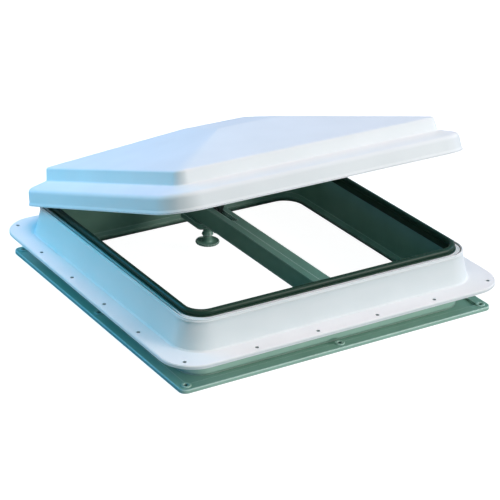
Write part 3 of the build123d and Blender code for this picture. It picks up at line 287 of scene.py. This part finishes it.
def zinc_steel():
    """Bright zinc-plated steel, pressed or turned: cool metal with a faint spangle."""
    made, tree, shader = new_material("bright_zinc_plated_steel", "#c9cdd0", metallic=1.0)
    fine_skin(tree, shader, 3.0, 0.22, 0.4)
    return made


def spring_steel():
    """Oiled spring steel, stamped: dark blue-grey metal."""
    made, tree, shader = new_material("oiled_spring_steel", "#5b5f66", metallic=1.0)
    fine_skin(tree, shader, 1.0, 0.3, 0.42)
    return made


def cast_zinc():
    """Die-cast zinc, bare: grey metal with a fine cast skin."""
    made, tree, shader = new_material("die_cast_zinc", "#9fa3a6", metallic=1.0)
    fine_skin(tree, shader, 0.6, 0.38, 0.55, 0.05)
    return made


def rivet_aluminium():
    """Plain aluminium rivet, upset cold: light metal with a soft dull sheen."""
    made, tree, shader = new_material("plain_aluminium", "#d5d7d9", metallic=1.0)
    fine_skin(tree, shader, 0.8, 0.3, 0.45)
    return made


def bronze():
    """Sintered bronze, oil-soaked: warm dull metal with fine pores."""
    made, tree, shader = new_material("sintered_bronze", "#a97a45", metallic=1.0)
    fine_skin(tree, shader, 0.3, 0.4, 0.6, 0.03)
    return made


def nylon():
    """Natural nylon, moulded: milky cream, waxy and soft in its highlights."""
    made, tree, shader = new_material("natural_nylon", "#e3ddcd", 1.53)
    shader.inputs["Subsurface Weight"].default_value = 0.1
    shader.inputs["Subsurface Scale"].default_value = 1.0 * MM
    fine_skin(tree, shader, 0.8, 0.4, 0.5)
    return made


def rounded_line(points, radii, steps=6, support=0.8):
    """A line through (half width, height) points with its inner corners turned to arcs.

    A corner's arc starts and ends at radius / tan(half the corner's angle) from it. It is
    centre + (sin((1 - t) w) u + sin(t w) v) / sin(w), t from 0 to 1, where u and v point from
    the centre to the arc's ends and w is the angle between them. A point just beyond each end
    keeps the flats flat under smooth shading.
    """
    points = np.asarray(points, float)
    out = [points[:1]]
    t = np.linspace(0, 1, steps + 1)[:, None]
    for before, corner, after, radius in zip(points, points[1:], points[2:], radii):
        a = (before - corner) / np.linalg.norm(before - corner)
        b = (after - corner) / np.linalg.norm(after - corner)
        half = math.acos(np.clip(a @ b, -1, 1)) / 2
        start = corner + a * radius / math.tan(half)
        end = corner + b * radius / math.tan(half)
        centre = corner + (a + b) / np.linalg.norm(a + b) * radius / math.sin(half)
        w = math.pi - 2 * half
        arc = centre + (np.sin((1 - t) * w) * (start - centre)
                        + np.sin(t * w) * (end - centre)) / math.sin(w)
        out += [[start + a * support], arc, [end + b * support]]
    out.append(points[-1:])
    return np.concatenate(out)


def square_rings(line, radius, steps=12):
    """Rounded squares stacked along a line of (half width, height) points.

    Each corner's points are (s (h - r) + r cos a, s' (h - r) + r sin a), with h the half
    width, r the corner radius and s, s' the corner's signs, so a ring has 4 (steps + 1).
    """
    half, height = line[:, 0, None], line[:, 1, None]
    r = np.minimum(np.asarray(radius, float), line[:, 0])[:, None]
    quarter = np.linspace(0, math.pi / 2, steps + 1)
    a = np.concatenate([quarter + k * math.pi / 2 for k in range(4)])[None]
    sign_x = np.repeat([1, -1, -1, 1], steps + 1)[None]
    sign_y = np.repeat([1, 1, -1, -1], steps + 1)[None]
    x = sign_x * (half - r) + r * np.cos(a)
    y = sign_y * (half - r) + r * np.sin(a)
    return np.stack([x, y, np.broadcast_to(height, x.shape)], axis=2)


def turned_rings(line, steps=48, flutes=0, depth=0.0, fluted=None):
    """Circles stacked along a line of (radius, height) points about the Z axis.

    Where fluted is 1, a ring's radius is r - depth (1 - cos(flutes a)) / 2.
    """
    a = np.linspace(0, 2 * math.pi, steps, endpoint=False)[None]
    cut = np.zeros(len(line)) if fluted is None else np.asarray(fluted, float)
    r = line[:, 0, None] - cut[:, None] * depth * (1 - np.cos(flutes * a)) / 2
    z = np.broadcast_to(line[:, 1, None], r.shape)
    return np.stack([r * np.cos(a), r * np.sin(a), z], axis=2)


def skin(rings, closed=False):
    """Points, quads and end faces of a grid of rings, each ring joined to the next.

    A closed skin joins its last ring to its first, an open one has a face over each end.
    """
    index = np.arange(rings.shape[0] * rings.shape[1]).reshape(rings.shape[:2])
    ends = [] if closed else [index[0, ::-1], index[-1]]
    if closed:
        index = np.concatenate([index, index[:1]])
    side = np.roll(index, -1, axis=1)
    quads = np.stack([index[:-1], side[:-1], side[1:], index[1:]], axis=2).reshape(-1, 4)
    return rings.reshape(-1, 3), quads, ends


def joined(*shapes):
    """Several shapes of points, quads and end faces as one."""
    starts = np.cumsum([0] + [len(shape[0]) for shape in shapes])
    return (np.concatenate([shape[0] for shape in shapes]),
            np.concatenate([shape[1] + start for shape, start in zip(shapes, starts)]),
            [end + start for shape, start in zip(shapes, starts) for end in shape[2]])


def moved(shape, offset):
    """A shape with all its points moved by an offset."""
    return shape[0] + np.asarray(offset, float), *shape[1:]


def box_skin(low, high, edge):
    """An upright box with its edges cut back: four rings of eight points from low to high.

    Each ring is the box's outline with its corners cut off by the edge. The first and last
    rings are drawn in by the edge on every side, and the others lie that far from them.
    """
    (x0, y0, z0), (x1, y1, z1) = low, high
    x = np.array([x0 + edge, x1 - edge, x1, x1, x1 - edge, x0 + edge, x0, x0])
    y = np.array([y0, y0, y0 + edge, y1 - edge, y1, y1, y1 - edge, y0 + edge])
    shrink = np.array([edge, 0, 0, edge])[:, None]
    heights = np.array([z0, z0 + edge, z1 - edge, z1])[:, None]
    gx = x[None] - np.sign(x - (x0 + x1) / 2)[None] * shrink
    gy = y[None] - np.sign(y - (y0 + y1) / 2)[None] * shrink
    return skin(np.stack([gx, gy, np.broadcast_to(heights, gx.shape)], axis=2))


def piece(name, shape, slot, body, *stands_for):
    """Makes a smooth object from a shape in millimetres, in its slot's finish, on its body."""
    points, quads, ends = shape
    faces = quads.tolist() + [end.tolist() for end in ends]
    mesh = bpy.data.meshes.new(name)
    mesh.from_pydata((points * MM).tolist(), [], faces)
    mesh.validate()
    mesh.materials.append(made_finish(slot))
    made = bpy.data.objects.new(name, mesh)
    bpy.context.scene.collection.objects.link(made)
    work = bmesh.new()
    work.from_mesh(mesh)
    bmesh.ops.recalc_face_normals(work, faces=work.faces)
    work.to_mesh(mesh)
    work.free()
    mesh.shade_smooth()
    mesh.set_sharp_from_angle(angle=SHARP_ANGLE)
    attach(made, body)
    if stands_for:
        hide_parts(*stands_for)


def opened(shape, angle):
    """A shape of the closed lid turned about the hinge line by the opening angle.

    With y and z from the hinge line, a point goes to (y cos a + z sin a, z cos a - y sin a).
    """
    points = np.array(shape[0])
    y, z = points[:, 1] - HINGE_Y, points[:, 2] - HINGE_Z
    points[:, 1] = HINGE_Y + y * math.cos(angle) + z * math.sin(angle)
    points[:, 2] = HINGE_Z - y * math.sin(angle) + z * math.cos(angle)
    return points, *shape[1:]


# Record slot of each node to the finish that its object gets
FINISHES = {
    "white_plastic": white_abs,
    "green_plastic": green_abs,
    "seal_rubber": seal_rubber,
    "plated_steel": zinc_steel,
    "spring_steel": spring_steel,
    "cast_zinc": cast_zinc,
    "rivet_aluminium": rivet_aluminium,
    "bronze": bronze,
    "natural_nylon": nylon,
}
MADE = {}


def made_finish(slot):
    """The one material of a slot, made when it is first asked for."""
    if slot not in MADE:
        MADE[slot] = FINISHES[slot]()
    return MADE[slot]


class HatchColourSettings(bpy.types.PropertyGroup):
    """Colours of the mouldings, as hex values."""

    white: StringProperty(name="White plastic", default="#eef3f5",
                          description="Colour of the lid, the base and the rim's bead")
    green: StringProperty(name="Green plastic", default="#86b19d",
                          description="Colour of the ring, the crossbar and the knob")
    rubber: StringProperty(name="Rubber", default="#1c3c2d",
                           description="Colour of the collar's seal")


class HatchStudioSettings(bpy.types.PropertyGroup):
    """Sizes and colours of the studio."""

    floor_size: FloatProperty(name="Floor size", description="Width of the round floor",
                              default=12.0, unit="LENGTH")
    sweep_height: FloatProperty(name="Sweep height", default=2.6, unit="LENGTH",
                                description="Height of the floor's upturned edge")
    floor_colour: StringProperty(name="Floor colour", description="Hex colour of the floor",
                                 default="#a0a0a0")
    floor_glow: FloatProperty(name="Floor glow", default=0.96,
                              description="Strength of the floor's own even white light")
    lens: FloatProperty(name="Lens", description="Focal length on a 36 mm sensor",
                        default=136.84)
    camera_place: FloatVectorProperty(
        name="Camera place", description="Where the camera stands", size=3, precision=5,
        default=(-1.05402, -1.66777, 0.91393), subtype="TRANSLATION", unit="LENGTH")
    azimuth: FloatProperty(name="Azimuth", description="Camera's angle round the object",
                           default=math.radians(-32.393), subtype="ANGLE")
    elevation: FloatProperty(name="Elevation", description="Camera's angle above the horizon",
                             default=math.radians(24.689), subtype="ANGLE")
    roll: FloatProperty(name="Roll", description="Camera's turn about its view line",
                        default=math.radians(1.348), subtype="ANGLE")


class HatchShapeSettings(bpy.types.PropertyGroup):
    """Sizes of the finished surfaces in millimetres, and the lid's opening angle."""

    opening: FloatProperty(name="Opening", description="Angle of the lid from closed",
                           default=math.radians(19.1), subtype="ANGLE")
    skirt_round: FloatProperty(name="Skirt rounding", default=6.0,
                               description="Radius between the lid's skirt and ledge")
    riser_round: FloatProperty(name="Riser rounding", default=3.0,
                               description="Radius between the lid's riser and roof")
    hip_round: FloatProperty(name="Hip rounding", default=2.0,
                             description="Corner radius at the flat top of the lid")
    lip_height: FloatProperty(name="Lip height", default=1.8,
                              description="Height of the lip along the lid's lower edge")
    bulb_radius: FloatProperty(name="Bulb radius", default=3.6,
                               description="Radius of the seal's hollow bulb")
    bead_radius: FloatProperty(name="Bead radius", default=1.1,
                               description="Radius of the bead along the collar's rim")
    boss_radius: FloatProperty(name="Boss radius", default=5.6,
                               description="Radius of the bosses about the ring's holes")
    flutes: IntProperty(name="Flutes", default=24, description="Flutes round the knob")


def light_only(source, name, *lit):
    """Keeps the light of a lamp or a glowing object to the objects given."""
    own = bpy.data.collections.new(name)
    for one in lit:
        own.objects.link(one)
    source.light_linking.receiver_collection = own


def area_light(name, place, size, power, colour):
    """A square soft lamp that looks from its place at the hatch and isn't seen itself."""
    data = bpy.data.lights.new(name, "AREA")
    data.shape = "SQUARE"
    data.size = size
    data.energy = power
    data.color = linear(colour)[:3]
    lamp = bpy.data.objects.new(name, data)
    bpy.context.scene.collection.objects.link(lamp)
    lamp.location = place
    lamp.visible_camera = False
    way = Vector(LAMP_AIM) - Vector(place)
    lamp.rotation_euler = way.to_track_quat("-Z", "Y").to_euler()
    return lamp


class HATCH_OT_studio(bpy.types.Operator):
    """Makes the floor, the soft lights, the pale surroundings and the camera"""

    bl_idname = "hatch.studio"
    bl_label = "Make the studio"

    def execute(self, context):
        values = context.scene.hatch_studio
        scene = context.scene
        # A round floor whose edge turns up in a quarter circle of 1 m: (sin t, 1 - cos t)
        reach, low = values.floor_size / 2, CAD_BOX[0].z
        t = np.linspace(0, math.pi / 2, 13)
        sweep = np.stack([reach - 1 + np.sin(t), low + 1 - np.cos(t)], axis=1)
        sweep = np.concatenate([[(0.5, low)], sweep, [(reach, low + values.sweep_height)]])
        points, quads, ends = skin(turned_rings(sweep, FLOOR_STEPS)[:, ::-1])
        mesh = bpy.data.meshes.new("floor")
        mesh.from_pydata(points.tolist(), [], quads.tolist() + [ends[0].tolist()])
        floor = bpy.data.objects.new("floor", mesh)
        scene.collection.objects.link(floor)
        made, _, shader = new_material("backlit_floor", values.floor_colour)
        shader.inputs["Roughness"].default_value = 0.9
        shader.inputs["Specular IOR Level"].default_value = 0.1
        shader.inputs["Emission Color"].default_value = linear("#ffffff")
        shader.inputs["Emission Strength"].default_value = values.floor_glow
        floor.data.materials.append(made)
        light_only(floor, "lit_by_floor", floor)

        world = bpy.data.worlds.new("pale_surroundings")
        world.use_nodes = True
        scene.world = world
        sky = world.node_tree.nodes["Background"]
        sky.inputs["Color"].default_value = linear(WORLD_COLOUR)
        sky.inputs["Strength"].default_value = WORLD_STRENGTH

        for lamp in LAMPS:
            area_light(*lamp)
        ring, bosses = frame["nodes"]["garnish_ring"], bpy.data.objects["ring_bosses"]
        for lamp in LOW_LAMPS:
            light_only(area_light(*lamp), lamp[0] + "_lights", ring, bosses)

        data = bpy.data.cameras.new("camera")
        data.lens = values.lens
        data.sensor_width = 36.0
        data.clip_start = 0.05
        data.clip_end = 50.0
        camera = bpy.data.objects.new("camera", data)
        scene.collection.objects.link(camera)
        a, e, r = values.azimuth, values.elevation, values.roll
        back = Vector((math.sin(a) * math.cos(e), -math.cos(a) * math.cos(e), math.sin(e)))
        right = Vector((math.cos(a), math.sin(a), 0.0))
        up = back.cross(right)
        turned_right = math.cos(r) * right + math.sin(r) * up
        turned_up = -math.sin(r) * right + math.cos(r) * up
        turn = Matrix((turned_right, turned_up, back)).transposed()
        camera.matrix_world = Matrix.Translation(values.camera_place) @ turn.to_4x4()
        scene.camera = camera
        scene.view_settings.view_transform = "Standard"
        return {"FINISHED"}


def rail_post(distance, height, slope):
    """A pair of bored posts with a web between them, built as if the rail lay level.

    The top is raised by slope times y, so that it ends inside the sloping roof's wall.
    """
    line = rounded_line([(POST_BORE, 0), (POST_RADIUS, 0), (POST_RADIUS, height),
                         (POST_BORE, height), (POST_BORE, 0.2)], [0.3, 0.2, 0.2], 3, 0.1)
    web = box_skin((-POST_X, -WEB_HALF, 0.2), (POST_X, WEB_HALF, height), 0.2)
    shape = joined(*[moved(skin(turned_rings(line, 32), closed=True), (x, 0, 0))
                     for x in (-POST_X, POST_X)], web)
    points = np.array(shape[0])
    points[:, 2] += np.where(points[:, 2] > height / 2, slope * points[:, 1], 0)
    return moved((points, *shape[1:]), (0, HINGE_Y - distance, HINGE_Z + RAIL_HEIGHT))


class HATCH_OT_lid(bpy.types.Operator):
    """Moulds the lid: a thin shell with its rib, hinge pads and rail posts, turned open"""

    bl_idname = "hatch.lid"
    bl_label = "Mould the lid"

    def execute(self, context):
        values = context.scene.hatch_shape
        # Half widths and heights over the lower edge: skirt, ledge, riser, roof and flat top
        lip = values.lip_height
        outer = rounded_line(
            [(190.4, 0), (191.7, 0), (191.5, lip), (190.6, lip + 2.2), (189.4, 19),
             (RISER_HALF, 25.3), (164.7, 40.3), (PLATEAU_HALF, 63.8), (20, 63.8)],
            [0.4, 0.3, 0.3, values.skirt_round, 2.5, values.riser_round, 24])
        inner = rounded_line(
            [(190.4, 0), (189.2, 0), (187, 17), (164.5, 23.05), (162.2, 37.8),
             (PLATEAU_HALF, 61.3), (20, 61.3)],
            [0.4, 4, 4, 2, 24])
        line = np.concatenate([inner[::-1], outer[1:]])
        # Corner radii: skirt and riser turn about one centre, the roof's radius grows
        # outwards from the flat top, and the larger of the two is taken
        riser = RISER_CORNER + line[:, 0] - RISER_HALF
        crown = values.hip_round + (line[:, 0] - PLATEAU_HALF) * HIP_GROWTH
        shell = skin(square_rings(line, np.maximum(riser, crown)))
        # The rib under the ledge that presses on the seal
        rib = rounded_line([(SEAL_HALF, 19.5), (172, 19.5), (172, 23.2), (170, 23.2),
                            (170, 19.5), (SEAL_HALF, 19.5)], [0.7, 0.2, 0.2, 0.7], 3, 0.2)[:-1]
        band = skin(square_rings(rib, rib[:, 0] - SEAL_ARC_CENTRE), closed=True)
        # The pads on the rear skirt that carry the hinge leaves
        pads = [box_skin((x - 17, 191.5, LID_LOW), (x + 17, 194.4, LID_LOW + 18.5), 0.6)
                for x in (-HINGE_X, HINGE_X)]
        closed = joined(moved(shell, (0, LID_SHIFT, LID_LOW)),
                        moved(band, (0, 0, LID_LOW)), *pads)
        posts = joined(*[rail_post(*place) for place in POST_PLACES])
        shape = joined(opened(closed, values.opening),
                       opened(posts, values.opening + RAIL_LEAN))
        piece("lid_moulding", shape, "white_plastic", "lid", "lid_shell")
        return {"FINISHED"}


class HATCH_OT_seal(bpy.types.Operator):
    """Extrudes the collar's rubber seal: a channel on the rim's lip under a round bulb"""

    bl_idname = "hatch.seal"
    bl_label = "Extrude the seal"

    def execute(self, context):
        # The bulb is an arc of 240 degrees about a point 39.8 mm up, open towards the channel
        r = context.scene.hatch_shape.bulb_radius
        a = np.radians(np.linspace(-35, 205, 17))
        bulb = np.stack([SEAL_HALF + r * np.cos(a), 39.8 + r * np.sin(a)], axis=1)
        channel = rounded_line([(169.3, 37), (169.3, 28.5), (170.8, 28.5), (170.8, 32.9),
                                (175.5, 32.9), (175.5, 34.2), (172, 34.2), (172, 36.6),
                                (175.5, 36.6), (175.5, 37.9), (174.4, 37.9)],
                               [0.5, 0.5, 0.3, 0.6, 0.3, 0.2, 0.2, 0.3, 0.6], 3, 0.2)
        line = np.concatenate([channel, bulb])
        shape = skin(square_rings(line, line[:, 0] - SEAL_ARC_CENTRE, 16), closed=True)
        piece("seal_extrusion", shape, "seal_rubber", "base", "collar_seal")
        return {"FINISHED"}


class HATCH_OT_bead(bpy.types.Operator):
    """Adds the round bead along the outer edge of the collar's rim"""

    bl_idname = "hatch.bead"
    bl_label = "Add the rim bead"

    def execute(self, context):
        # A circle of twelve points carried round the rim
        r = context.scene.hatch_shape.bead_radius
        a = np.linspace(0, 2 * math.pi, 12, endpoint=False)
        across, up = r * np.cos(a), r * np.sin(a)
        rim = np.stack([RIM_HALF + across, RIM_TOP + up], axis=1)
        shape = skin(square_rings(rim, rim[:, 0] - RIM_ARC_CENTRE, 16), closed=True)
        piece("rim_bead", shape, "white_plastic", "base")
        return {"FINISHED"}


class HATCH_OT_bosses(bpy.types.Operator):
    """Adds the round bosses about the ring's eight screw holes"""

    bl_idname = "hatch.bosses"
    bl_label = "Add the ring's bosses"

    def execute(self, context):
        # Radii and heights from the bore's foot out, up, in and down into the countersink
        r = context.scene.hatch_shape.boss_radius
        line = rounded_line([(2.3, -29), (r, -29), (r, -25.4), (3.0, -25.4), (2.3, -26.2)],
                            [0.2, 0.8, 0.3], 4, 0.2)
        boss = skin(turned_rings(line, 40), closed=True)
        places = [(x, y, 0) for x in (-RING_HOLES, 0, RING_HOLES)
                  for y in (-RING_HOLES, 0, RING_HOLES) if x or y]
        shape = joined(*[moved(boss, place) for place in places])
        piece("ring_bosses", shape, "green_plastic", "base")
        return {"FINISHED"}


class HATCH_OT_cowl(bpy.types.Operator):
    """Moulds the small cone about the operator's nose, over the knob"""

    bl_idname = "hatch.cowl"
    bl_label = "Mould the nose cowl"

    def execute(self, context):
        # Radii and heights from the crossbar down the cone and back up its bore
        line = rounded_line([(3.4, -1.2), (4.4, -1.2), (7.0, -6.9), (7.0, -7.5), (3.4, -7.5),
                             (3.4, -1.4)], [0.4, 0.5, 0.3, 0.2], 3, 0.1)
        shape = moved(skin(turned_rings(line, 64)), (0, KNOB_Y, 0))
        piece("nose_cowl", shape, "green_plastic", "base")
        return {"FINISHED"}


class HATCH_OT_knob(bpy.types.Operator):
    """Moulds the hand knob: a fluted dished disc on a waisted hub"""

    bl_idname = "hatch.knob"
    bl_label = "Mould the knob"

    def execute(self, context):
        # Radii and heights down the waisted hub, out over the disc and into its hollow
        flutes = context.scene.hatch_shape.flutes
        line = rounded_line(
            [(2.6, -9.2), (2.6, -8.6), (5.3, -8.6), (5.0, -14.2), (6.4, -16.5), (12.5, -16.5),
             (12.9, -15.5), (14.3, -15.5), (14.3, -18.5), (3.4, -18.5), (3.4, -16.8)],
            [0.2, 0.7, 3, 1.4, 0.4, 0.4, 1.0, 1.0, 0.4], 4, 0.15)
        # The flutes lie on the disc's outer edge only
        fluted = (line[:, 0] > 13.6) & (line[:, 1] < -15.3)
        rings = turned_rings(line, flutes * FLUTE_STEPS, flutes, FLUTE_DEPTH, fluted)
        piece("knob_moulding", moved(skin(rings), (0, KNOB_Y, 0)), "green_plastic", "drive",
              "knob")
        return {"FINISHED"}


class HATCH_OT_finish_frame(bpy.types.Operator):
    """Gives every piece of the frame its own moulded, pressed or turned finish"""

    bl_idname = "hatch.finish_frame"
    bl_label = "Finish the frame's pieces"

    def execute(self, context):
        for part in frame["record"]["subparts"]:
            solid = frame["nodes"][part["node"]]
            solid.data.materials.clear()
            solid.data.materials.append(made_finish(part["material_slot"]))
        return {"FINISHED"}


class HATCH_PT_panel(bpy.types.Panel):
    """Lists the steps that dress the hatch"""

    bl_idname = "HATCH_PT_panel"
    bl_label = "Roof hatch"
    bl_space_type = "VIEW_3D"
    bl_region_type = "UI"
    bl_category = "Hatch"

    def draw(self, context):
        for step in STEPS:
            self.layout.operator(step.bl_idname)


STEPS = (HATCH_OT_finish_frame, HATCH_OT_lid, HATCH_OT_seal, HATCH_OT_bead,
         HATCH_OT_bosses, HATCH_OT_cowl, HATCH_OT_knob, HATCH_OT_studio)
CLASSES = (HatchStudioSettings, HatchShapeSettings, HatchColourSettings, *STEPS,
           HATCH_PT_panel)


def register():
    """Registers the classes and hangs the settings on the scene."""
    for made in CLASSES:
        bpy.utils.register_class(made)
    bpy.types.Scene.hatch_studio = bpy.props.PointerProperty(type=HatchStudioSettings)
    bpy.types.Scene.hatch_shape = bpy.props.PointerProperty(type=HatchShapeSettings)
    bpy.types.Scene.hatch_colours = bpy.props.PointerProperty(type=HatchColourSettings)


def unregister():
    """Takes the settings and the classes away."""
    del bpy.types.Scene.hatch_colours
    del bpy.types.Scene.hatch_shape
    del bpy.types.Scene.hatch_studio
    for made in reversed(CLASSES):
        bpy.utils.unregister_class(made)


def main():
    """Runs every step in order."""
    register()
    bpy.ops.hatch.finish_frame()
    bpy.ops.hatch.lid()
    bpy.ops.hatch.seal()
    bpy.ops.hatch.bead()
    bpy.ops.hatch.bosses()
    bpy.ops.hatch.cowl()
    bpy.ops.hatch.knob()
    bpy.ops.hatch.studio()


if __name__ == "__main__":
    main()
